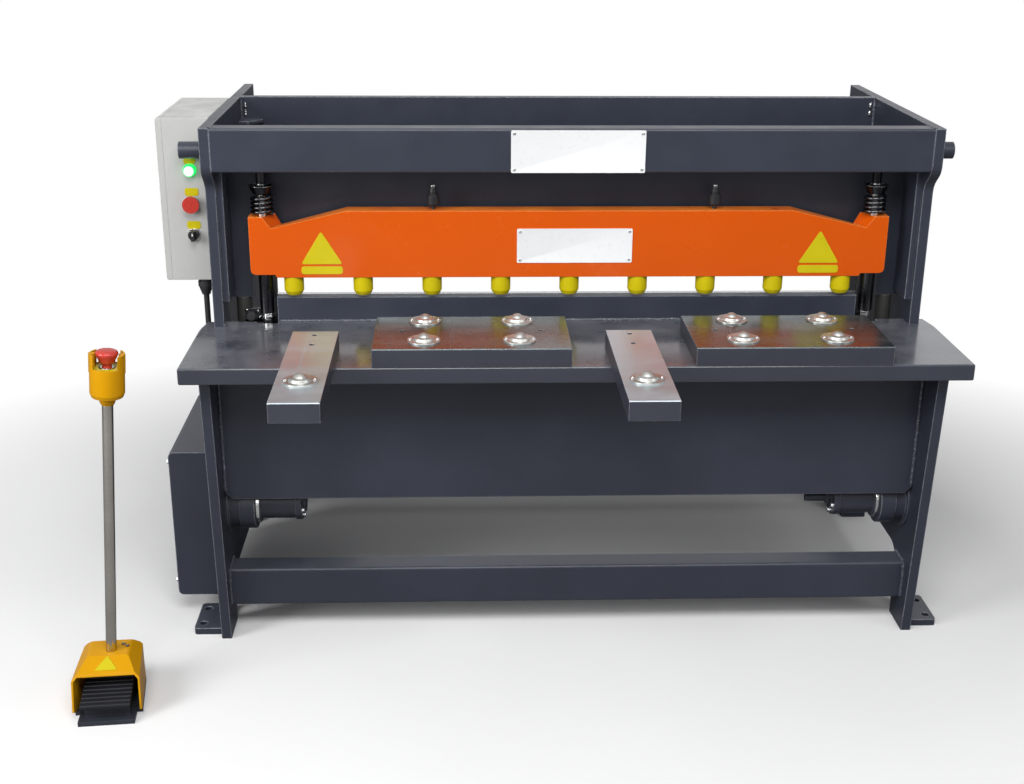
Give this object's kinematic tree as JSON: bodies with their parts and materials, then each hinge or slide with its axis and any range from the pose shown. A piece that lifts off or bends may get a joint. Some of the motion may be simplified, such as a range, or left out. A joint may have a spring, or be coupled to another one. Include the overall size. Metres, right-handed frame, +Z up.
{
  "type": "electromechanical guillotine shear",
  "caption": "Floor-standing electromechanical guillotine shear for sheet metal: welded frame, sprung hold-down beam with urethane plugs, raked ram blade, ball supports, cabinet and foot pedal.",
  "frame": {"origin": "on the floor, at the centre of the four outer anchor holes", "axes": "+X along the blades to the operator's right, +Y from the operator towards the back of the machine, +Z up"},
  "size_m": [1.9226, 1.258, 1.143],
  "materials": {
    "frame_paint": "satin",
    "table_paint": "gloss",
    "hold_down_paint": "satin",
    "cabinet_paint": "satin",
    "motor_paint": "satin",
    "amber_paint": "satin",
    "cast_case": "matte",
    "ground_steel": "ground",
    "bright_steel": "polished",
    "spring_steel": "oiled",
    "black_steel": "oxide black",
    "urethane": "matte",
    "black_plastic": "matte",
    "red_plastic": "gloss",
    "green_lens": "lit"
  },
  "bodies": {
    "frame": {"left_side_plate": "frame_paint", "right_side_plate": "frame_paint", "front_top_beam": "frame_paint", "rear_cross_plate": "frame_paint", "lower_beams": "frame_paint", "front_apron": "frame_paint", "anchor_feet": "frame_paint", "work_table": "table_paint", "knife_bed": "frame_paint", "lower_blade": "ground_steel", "ram_guides": "frame_paint", "crank_housings": "cast_case", "drive_shaft": "ground_steel", "drive_motor": "motor_paint", "drive_cover": "frame_paint", "rocker_bearings": "cast_case", "rocker_arms": "frame_paint", "lifting_bars": "frame_paint", "guide_posts": "bright_steel", "stop_sleeves": "black_steel", "post_sockets": "frame_paint", "hold_down_springs": "spring_steel", "support_arms": "ground_steel", "support_blocks": "ground_steel", "ball_units": "bright_steel", "cabinet_door": "cabinet_paint", "cabinet_box": "cabinet_paint", "signal_lamp": "green_lens", "button_collars": "bright_steel", "motor_lead": "black_plastic", "pedal_base": "black_plastic", "pedal_guard": "amber_paint", "pedal_column": "bright_steel", "stop_case": "amber_paint"},
    "ram": {"ram_beam": "frame_paint", "ram_stiffeners": "frame_paint", "upper_blade": "ground_steel", "connecting_rods": "ground_steel"},
    "hold_down": {"hold_down_beam": "hold_down_paint", "pressure_pads": "urethane", "lock_knobs": "black_plastic"},
    "treadle": {"pedal_treadle": "black_plastic"},
    "stop_head": {"stop_mushroom": "red_plastic"},
    "stop_push": {"stop_button": "red_plastic"},
    "selector": {"selector_switch": "black_plastic"}
  },
  "joints": [
    {"name": "ram_slide", "type": "slide", "parent": "frame", "child": "ram", "axis": [0, 0, -1], "range_m": [0, 0.07]},
    {"name": "hold_down_slide", "type": "slide", "parent": "frame", "child": "hold_down", "axis": [0, 0, 1], "range_m": [0, 0.012], "deforming": ["hold_down_springs"]},
    {"name": "treadle_hinge", "type": "hinge", "parent": "frame", "child": "treadle", "pos_m": [-0.98972, -0.60405, 0.06219], "axis": [0.9962, 0.0872, 0], "range_deg": [0, 6], "stiffness_Nm_per_rad": 15, "springref_deg": -8.59},
    {"name": "stop_head_push", "type": "slide", "parent": "frame", "child": "stop_head", "axis": [0.0747, 0.0065, 0.9972], "range_m": [-0.006, 0], "stiffness_N_per_m": 800, "springref_m": 0.005},
    {"name": "stop_push", "type": "slide", "parent": "frame", "child": "stop_push", "axis": [0, 1, 0], "range_m": [0, 0.004], "stiffness_N_per_m": 800, "springref_m": -0.004},
    {"name": "selector_turn", "type": "hinge", "parent": "frame", "child": "selector", "pos_m": [-0.853, -0.08, 0.873], "axis": [0, 1, 0], "range_deg": [-45, 45]}
  ]
}
